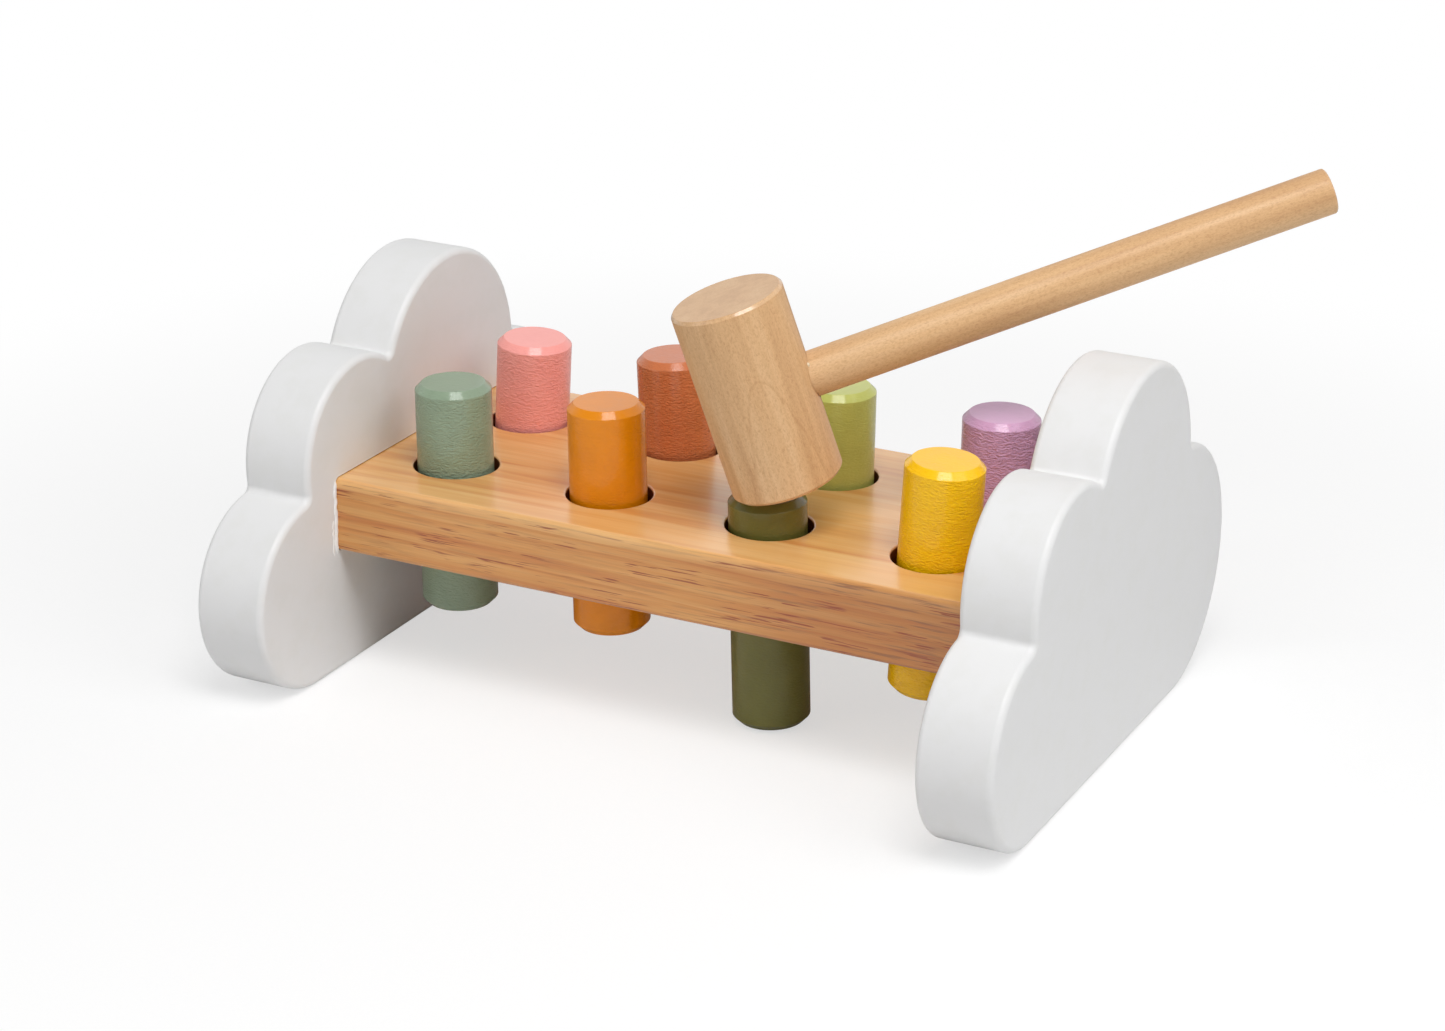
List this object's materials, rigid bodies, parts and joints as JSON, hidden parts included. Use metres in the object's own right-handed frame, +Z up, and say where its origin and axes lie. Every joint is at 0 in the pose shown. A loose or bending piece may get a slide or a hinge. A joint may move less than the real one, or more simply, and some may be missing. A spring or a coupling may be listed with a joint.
{
  "type": "pounding bench",
  "caption": "Pounding bench: cloud-shaped sides carry a plank whose upright pegs are gripped by rubber rings and struck down through it with a loose mallet.",
  "frame": {"origin": "middle of the whole toy's bounding box, mallet included, on the table under the cloud-shaped feet", "axes": "+X along the plank towards the mallet handle's free end, +Y to the back lobes of the clouds, +Z up"},
  "size_m": [0.3078, 0.1944, 0.1741],
  "materials": {
    "cloud_white_paint": "satin off-white paint",
    "varnished_pine": "satin clear varnish",
    "oiled_beech": "fine-sanded, oiled",
    "dowel_birch": "bare",
    "grip_rubber": "matte black",
    "sage_paint": "satin sage green paint",
    "orange_paint": "satin orange paint",
    "olive_paint": "satin olive paint",
    "yellow_paint": "satin yellow paint",
    "pink_paint": "satin pink paint",
    "terracotta_paint": "satin terracotta paint",
    "lime_paint": "satin lime green paint",
    "lilac_paint": "satin lilac paint"
  },
  "bodies": {
    "bench": {"plank": "varnished_pine", "cloud_side_left": "cloud_white_paint", "cloud_side_right": "cloud_white_paint", "dowel_left_front": "dowel_birch", "dowel_left_back": "dowel_birch", "dowel_right_front": "dowel_birch", "dowel_right_back": "dowel_birch", "grip_ring_sage": "grip_rubber", "grip_ring_orange": "grip_rubber", "grip_ring_olive": "grip_rubber", "grip_ring_yellow": "grip_rubber", "grip_ring_pink": "grip_rubber", "grip_ring_terracotta": "grip_rubber", "grip_ring_lime": "grip_rubber", "grip_ring_lilac": "grip_rubber"},
    "sage": {"sage_peg": "sage_paint"},
    "orange": {"orange_peg": "orange_paint"},
    "olive": {"olive_peg": "olive_paint"},
    "yellow": {"yellow_peg": "yellow_paint"},
    "pink": {"pink_peg": "pink_paint"},
    "terracotta": {"terracotta_peg": "terracotta_paint"},
    "lime": {"lime_peg": "lime_paint"},
    "lilac": {"lilac_peg": "lilac_paint"},
    "mallet": {"mallet_head": "oiled_beech", "mallet_handle": "oiled_beech"}
  },
  "joints": [
    {"name": "sage_peg_slide", "type": "slide", "parent": "bench", "child": "sage", "axis": [-0.0175, 0, 0.9998], "range_m": [-0.018, 0.0227]},
    {"name": "orange_peg_slide", "type": "slide", "parent": "bench", "child": "orange", "axis": [-0.0279, 0, 0.9996], "range_m": [-0.0207, 0.02]},
    {"name": "olive_peg_slide", "type": "slide", "parent": "bench", "child": "olive", "axis": [-0.0349, 0, 0.9994], "range_m": [0, 0.0406]},
    {"name": "yellow_peg_slide", "type": "slide", "parent": "bench", "child": "yellow", "axis": [0.0489, 0, 0.9988], "range_m": [-0.0216, 0.0189]},
    {"name": "pink_peg_slide", "type": "slide", "parent": "bench", "child": "pink", "axis": [0.0454, 0, 0.999], "range_m": [-0.0191, 0.0214]},
    {"name": "terracotta_peg_slide", "type": "slide", "parent": "bench", "child": "terracotta", "axis": [-0.0523, 0, 0.9986], "range_m": [-0.0216, 0.0189]},
    {"name": "lime_peg_slide", "type": "slide", "parent": "bench", "child": "lime", "axis": [0.0052, 0, 1], "range_m": [-0.0212, 0.0197]},
    {"name": "lilac_peg_slide", "type": "slide", "parent": "bench", "child": "lilac", "axis": [0.007, 0, 1], "range_m": [-0.0211, 0.0197]},
    {"name": "mallet_lift", "type": "slide", "parent": "olive", "child": "mallet", "axis": [0, 0, 1], "range_m": [0, 0.15]}
  ]
}
